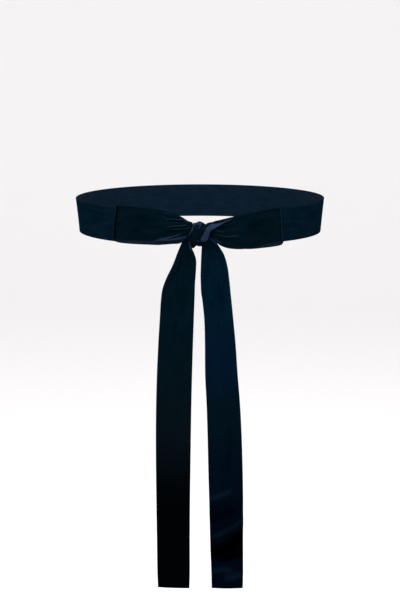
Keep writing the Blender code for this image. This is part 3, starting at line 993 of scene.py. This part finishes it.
# %% First crossing
FIRST_CROSSING = table(
    Wrap,
    (-9.5, 3.4, -20.4, 3.6, -3.6),
    (-7.2, 3.6, -21.2, 3.7, -3.7),
    (-4, 3.7, -18.6, 3.7, -3.7),
    (-1, 3.7, -19.2, 3.7, -3.7),
    (2, 3.6, -18.8, 3.7, -3.7),
    (5.4, 3.4, -18.2, 3.7, -3.7),
    (8.5, 3.2, -17.4, 3.6, -3.6),
)
CROSSING_STEPS = (180, 48)
CROSSING_FOLD_DEPTH = 0.1
# The first crease's shade is a painted highlight; the second ridge gets only the lamps' light.
FIRST_CROSSING_CREASES = [
    Crease(((-6, -13.4), (-1, -13), (3, -13.2), (8, -12)), 1.5, 0.3, 0.6),
    Crease(((-8.4, -16), (-4.4, -17), (-1.6, -15.2)), 1.4, 0.3, 0),
]

half_knot = make_sheet(
    "first_crossing",
    wrap_surface(FIRST_CROSSING, CROSSING_FOLD_DEPTH, mouth_lean=0.0),
    CROSSING_STEPS,
    velvet_loops,
    satin_folded,
    front_relief(FIRST_CROSSING_CREASES),
    turned=True,
    is_round=True,
)
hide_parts("half_knot")
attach(half_knot, "root")

# %% [markdown]
# ## The turned strip
#
# Where the ribbon comes over the knot from the right loop it is turned, so a narrow strip of its
# smooth back faces out. It is the lightest thing on the bow, partly by painted light in its colours.
# Its table gives its two edges, from the tip on the right loop, over the loop's root, down the
# knot's right side, to where it tucks under, and how far across it the upper edge is painted dark:
# partly the velvet side that comes round it, and partly painted shade, down to black, on that rolled
# edge. How far it stands off the waist is not in the table: it lies on the loop or on the knot,
# whichever is further out, and comes softly from one to the other. The knot's corner is taken a
# little larger than it is, so that the strip goes round it in a wider bend than the cloth's own
# thickness.

# %% Turned strip
Turn = namedtuple("Turn", "upper_x upper_height lower_x lower_height turned_from")
STRIP = table(
    Turn,
    (33.6, 14.4, 33.8, 12.6, 0.6),
    (29.5, 13.7, 30.2, 11, 0.5),
    (25.3, 12.6, 26.4, 9.4, 0.5),
    (21.1, 11.4, 22.5, 7.4, 0.48),
    (16.9, 10.3, 19, 5.3, 0.42),
    (13.3, 9.8, 16.3, 3.4, 0.28),
    (9.9, 9, 13.6, 1.8, 0.25),
    (7, 8.3, 11.4, 0.4, 0.36),
    (5.6, 6.5, 10.2, -0.9, 0.28),
    (5.6, 3.3, 9.7, -2.2, 0.18),
    (5.1, 0.8, 9.4, -3.6, -0.1),
    (3.8, -2, 9, -5.3, -0.2),
    (2.3, -4.6, 8.4, -7, -0.2),
    (1.1, -6.8, 7.5, -8.5, -0.2),
    (0.8, -8.6, 6.2, -9.7, -0.2),
    (2, -10, 4.6, -10.4, -0.2),
)
# A painted highlight on the strip's bend over the knot, and painted shade in a small fold across it.
STRIP_CREASES = [
    Crease(((2, 1), (9, 4.2), (13.6, 5), (20, 7.9), (27, 11)), 3, 0, 0.5),
    Crease(((9, 6), (10.6, 3.2), (11.4, -0.6)), 0.8, -0.3, -0.3),
]
STRIP_STEPS = (220, 56)
RIM_SHADE = 0.8
RIM_SOFT_SHARE = 0.2
STRIP_ROOM = 0.8
STRIP_LIFT = WALL / 2.0 + STRIP_ROOM
CORNER_ROOM = 2.6
STRIP_CROWN_SHARE = 0.1
SHOULDER_SLOPE = 1.0
SHOULDER_SOFTNESS = 2.0


def knot_front(x, height):
    """How far out the strip lies over the knot, or over the slope down from the knot's edge."""
    across = np.interp(x, [row.x for row in BOW_KNOT], np.linspace(0.0, 1.0, len(BOW_KNOT)))
    row = along_table(BOW_KNOT, across)
    proud = WALL / 2.0 + KNOT_FOLD_DEPTH + STRIP_LIFT
    tall = (row.top - row.bottom) / 2.0 + proud + CORNER_ROOM
    steep = np.minimum(np.abs(height - (row.top + row.bottom) / 2.0) / tall, 1.0)
    bulge = ((row.front - row.back) / 2.0 + proud) * (1.0 - steep**SQUARENESS) ** (1.0 / SQUARENESS)
    past_edge = np.maximum(x - BOW_KNOT[-1].x, 0.0)
    return (row.front + row.back) / 2.0 + bulge - SHOULDER_SLOPE * past_edge


def loop_front(x):
    """How far out the strip lies over the right loop's front layer."""
    front = RIGHT_LOOP[: len(RIGHT_LOOP) // 2]
    reach = [row.reach for row in front]
    out = np.interp(x - KNOT_X, reach, [row.out for row in front])
    pleat = np.interp(x - KNOT_X, reach, [row.pleat for row in front])
    return out + pleat + WALL / 2.0 + STRIP_LIFT


def strip_surface(along, across):
    """The turned stretch over the right loop's root and the knot, tucked under the knot."""
    row = along_table(STRIP, along)
    x = row.upper_x + (row.lower_x - row.upper_x) * across
    height = row.upper_height + (row.lower_height - row.upper_height) * across
    over_knot = knot_front(x, height)
    over_loop = loop_front(x)
    apart = over_knot - over_loop
    both = 0.5 * (over_knot + over_loop + np.sqrt(apart * apart + SHOULDER_SOFTNESS))
    wide = np.hypot(row.lower_x - row.upper_x, row.lower_height - row.upper_height)
    return on_waist(x, height, both + STRIP_CROWN_SHARE * wide * np.sin(np.pi * across))


def strip_relief(along, across, points):
    """The strip's creases, and its upper rim painted dark: the velvet side that comes round it, and
    painted shade.
    """
    raised, painted_fold_light = crease_relief(STRIP_CREASES, points[..., 0], points[..., 2])
    rim = ease((along_table(STRIP, along).turned_from - across) / RIM_SOFT_SHARE + 0.5)
    return raised, (1.0 - rim) * painted_fold_light - RIM_SHADE * rim


strip = make_sheet(
    "turned_strip", strip_surface, STRIP_STEPS, satin_turned, velvet_loops, strip_relief
)
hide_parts("crossing_fold")
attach(strip, "root")

# %% [markdown]
# ## The tails
#
# The two free ends hang straight down from under the knot. They start gathered, open out over the
# first few centimetres and then hang nearly flat, turned a little with the waist. Each row of their
# table is a height, the ribbon's two edges there, how far it stands off, how deep its last folds
# are, how far its right edge rolls forward, and how far that edge lies above the middle. What a row
# leaves out is nought.

# %% Tail tables
Hang = namedtuple("Hang", "height left right out pleat curl slope", defaults=[0.0, 0.0, 0.0])
LEFT_TAIL = table(
    Hang,
    (-10, -16.8, -7.6, 4.7, 0.25, 0, -2.4),
    (-14.5, -19, -9.2, 4.9, 0.4, 0.6, -1),
    (-20, -21.5, -8.7, 6, 0.6, 1.5),
    (-26, -24, -6, 7, 0.9, 1.8),
    (-33, -26.6, -4.2, 7.8, 1.2, 1.4),
    (-41.6, -30.2, -4.3, 8, 1.2, 0.8),
    (-50, -34.4, -4.8, 8, 1, 0.4),
    (-59, -38.2, -5.4, 8, 0.7),
    (-68, -40.8, -5.6, 8, 0.45),
    (-80, -42.2, -6, 8, 0.25),
    (-100, -43.5, -6.7, 8, 0.1),
    (-126, -45.2, -7.6, 8),
    (-160, -46.9, -8.6, 8),
    (-194, -48, -9.4, 8),
    (-230, -48.6, -10, 8),
    (-270, -48.7, -10.6, 8),
    (-310, -48.5, -11.1, 8),
    (-350, -48.2, -11.4, 8),
    (-387, -48, -11.4, 8),
    (-409, -47.4, -11.9, 8, 0, 0, 0.6),
)
RIGHT_TAIL = table(
    Hang,
    (-10.4, 2.6, 15, 4.8, 0.1, 0, 2),
    (-15, 2.1, 17.6, 5.2, 0.3, 0.4, 0.8),
    (-20, 1.9, 21.2, 6, 0.7, 1),
    (-26, 1.6, 25, 7, 1, 2),
    (-33, 1.3, 27.6, 7.8, 1.3, 3),
    (-41.6, 1, 29.7, 8, 1.2, 4),
    (-50, 0.7, 30.9, 8, 1, 5),
    (-59, 0.9, 31.9, 8, 0.8, 6),
    (-68, 1.3, 32.7, 8, 0.6, 6.5),
    (-80, 2.9, 34, 8, 0.4, 6),
    (-100, 4.7, 36, 8, 0.2, 5),
    (-126, 5.3, 38.5, 8, 0, 3.5),
    (-160, 5.6, 41, 8, 0, 2),
    (-194, 7.2, 43.8, 8, 0, 1),
    (-230, 8.3, 45.8, 8, 0, 0.5),
    (-270, 9.2, 47.2, 8),
    (-310, 10.3, 48, 8),
    (-350, 11.3, 48.2, 8),
    (-387, 12.6, 48.5, 8),
    (-409, 13.1, 48.2, 8, 0, 0, -1.2),
)
TAIL_FOLDS = 2.5
RIPPLE_STARTS = -285.0
RIPPLE_LENGTH = 62.0
RIPPLE_DEPTH = 1.6
RIPPLE_SLOPE = 0.5


def tail_surface(rows, ripple_depth):
    """A free end that hangs from under the knot, turned with the waist's oval."""

    def surface(along, across):
        row = along_table(rows, along)
        side = 2.0 * across - 1.0
        x = (row.left + row.right) / 2.0 + side * (row.right - row.left) / 2.0
        rippled = ease((RIPPLE_STARTS - row.height) / RIPPLE_LENGTH)
        phase = 2.0 * np.pi * (row.height - RIPPLE_SLOPE * (x - row.left)) / RIPPLE_LENGTH
        out = row.out + row.pleat * np.cos(TAIL_FOLDS * np.pi * side)
        out += row.curl * np.maximum(side, 0.0) ** 2 + ripple_depth * rippled * np.sin(phase)
        points = on_waist(x, np.zeros_like(x), out)
        points[..., 2] = row.height + side * row.slope
        return points

    return surface


for rows in (LEFT_TAIL, RIGHT_TAIL):
    print(f"a tail hangs {rows[0].height - rows[-1].height:.1f} mm down")

# %% [markdown]
# Above, the gather runs down into long soft folds, with a painted highlight down the left tail's
# inner edge and along the right tail's first fold, and painted shade beside them. Below, the left
# tail hangs dead flat, and the right one has low ripples that slant across it, left by the way it
# was folded in its packet, with lighter and darker patches: partly pile brushed one way or the
# other, and partly painted highlight and painted shade on the ripples.

# %% Tails
LEFT_TAIL_CREASES = [
    Crease(((-12.4, -4), (-11.3, -13.3), (-10.7, -17), (-9.8, -20.3), (-8, -26)), 0.8, 0.6, 0.65),
    Crease(((-13.6, -9), (-13, -16), (-12.2, -23)), 0.8, -0.5, -0.5),
    Crease(((-14.5, -8), (-14.5, -20), (-16, -42), (-21, -64)), 1.6, -0.7, -0.3),
    Crease(((-17.5, -15), (-21.5, -28), (-27, -46), (-31, -62)), 1.6, 0.6, 0.1),
    Crease(((-9, -26), (-9.5, -36), (-10.5, -50), (-12, -66)), 1.4, 0.5, 0.05),
    Crease(((-22, -90), (-24, -150), (-26, -220)), 7, 0.5, 0),
    Crease(((-36, -110), (-38, -190), (-38, -280)), 6, -0.5, 0),
]
RIGHT_TAIL_CREASES = [
    Crease(((7, -5), (9.8, -8.3), (12.7, -10.9), (16.4, -13.8), (19.8, -19)), 1.5, 0.6, 1),
    Crease(((4, -9), (4.6, -16), (5.4, -30)), 1.2, 0, -0.4),
    Crease(((7, -15), (8, -26), (8.5, -44), (9, -66)), 1.6, 0.5, 0.1),
    Crease(((9, -13), (12, -26), (15, -44), (17, -64)), 1.6, -0.7, -0.2),
    Crease(((13.5, -15), (18, -28), (21, -44), (23, -60)), 1.5, 0.6, 0.15),
    Crease(((27, -24), (29.6, -44), (31.8, -66), (36, -110)), 1.5, 0, 0.25),
    Crease(((14, -90), (18, -150), (22, -210)), 7, 0.5, 0.1),
    Crease(((28, -100), (32, -170), (36, -240)), 6, -0.5, -0.1),
    Crease(((26, -205), (35, -236), (29, -262), (33, -290)), 5, 0, -0.35),
    Crease(((-2, -306), (18.8, -300), (30, -296), (40, -288)), 4, 0.4, 0.25),
    Crease(((-6, -330), (22, -322), (50, -312)), 9, -0.4, -0.5),
    Crease(((2, -352), (16, -347), (26, -342.5), (38, -337), (58, -318)), 5, 0.6, 0.24),
    Crease(((-20, -372), (12, -367), (27, -362), (42, -352), (66, -338)), 9.5, -0.4, -1),
    Crease(((16, -376), (34, -372), (56, -366)), 7, 0, -0.7),
    Crease(((8, -384), (18, -388), (30, -386), (40, -392)), 5, 0, 0.24),
    Crease(((22, -398), (36, -397), (52, -390)), 5, 0, 0.24),
]
TAIL_STEPS = (420, 40)


def tail_relief(creases):
    """A tail's folds."""
    return lambda along, across, points: crease_relief(creases, points[..., 0], points[..., 2])


TAILS = [
    ("tail_left", LEFT_TAIL, 0.0, velvet_left, LEFT_TAIL_CREASES),
    ("tail_right", RIGHT_TAIL, RIPPLE_DEPTH, velvet_right, RIGHT_TAIL_CREASES),
]
for node, rows, ripple_depth, face, creases in TAILS:
    tail = make_sheet(
        f"sash_{node}",
        tail_surface(rows, ripple_depth),
        TAIL_STEPS,
        face,
        satin_back,
        tail_relief(creases),
    )
    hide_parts(node)
    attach(tail, "root")

# %% [markdown]
# ## Size and the end
#
# The finer sheets must still be the size of the solids they stand for.
